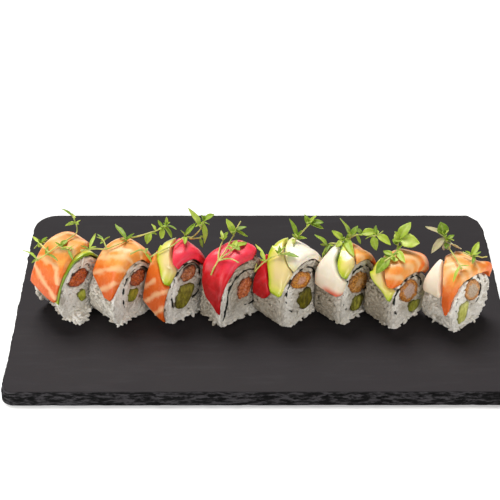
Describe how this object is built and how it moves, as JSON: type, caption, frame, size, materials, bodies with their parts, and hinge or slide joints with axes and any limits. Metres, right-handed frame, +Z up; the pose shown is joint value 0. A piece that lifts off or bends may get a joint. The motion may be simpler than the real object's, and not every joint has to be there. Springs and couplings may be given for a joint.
{
  "type": "sushi roll platter",
  "caption": "Row of cut rice rolls with shrimp and avocado inside, topped with fish and avocado slices and cress sprigs, on a flat slate plate.",
  "frame": {"origin": "centre of the bounding box at the underside of the slate plate", "axes": "+X along the row of rolls and the long side of the plate, +Y away from the viewer, +Z up; the cut faces look to -Y and +X"},
  "size_m": [0.303, 0.1838, 0.0739],
  "materials": {
    "slate": "matte",
    "rice": "satin",
    "nori": "satin",
    "shrimp": "matte",
    "avocado_filling": "satin",
    "avocado_slice": "satin",
    "salmon": "satin",
    "tuna": "satin",
    "whitefish": "satin",
    "sprig": "matte"
  },
  "bodies": {
    "root": {"slate": "slate", "rice_1": "rice", "rice_2": "rice", "rice_3": "rice", "rice_4": "rice", "rice_5": "rice", "rice_6": "rice", "rice_7": "rice", "rice_8": "rice", "nori_1": "nori", "nori_2": "nori", "nori_3": "nori", "nori_4": "nori", "nori_5": "nori", "nori_6": "nori", "nori_7": "nori", "nori_8": "nori", "shrimp_1": "shrimp", "shrimp_2": "shrimp", "shrimp_3": "shrimp", "shrimp_4": "shrimp", "shrimp_5": "shrimp", "shrimp_6": "shrimp", "shrimp_7": "shrimp", "shrimp_8": "shrimp", "filling_1": "avocado_filling", "filling_2": "avocado_filling", "filling_3": "avocado_filling", "filling_5": "avocado_filling", "filling_6": "avocado_filling", "filling_7": "avocado_filling", "filling_8": "avocado_filling", "avocado_1": "avocado_slice", "avocado_3": "avocado_slice", "avocado_5": "avocado_slice", "avocado_6": "avocado_slice", "avocado_7": "avocado_slice", "salmon_1": "salmon", "salmon_2": "salmon", "salmon_3": "salmon", "salmon_6": "salmon", "salmon_7": "salmon", "salmon_8": "salmon", "tuna_3": "tuna", "tuna_4": "tuna", "tuna_5": "tuna", "whitefish_5": "whitefish", "whitefish_6": "whitefish", "whitefish_8": "whitefish", "sprig_1": "sprig", "sprig_2": "sprig", "sprig_3": "sprig", "sprig_4": "sprig", "sprig_5": "sprig", "sprig_6": "sprig", "sprig_7": "sprig", "sprig_8": "sprig", "sprig_9": "sprig", "sprig_10": "sprig"}
  },
  "joints": []
}
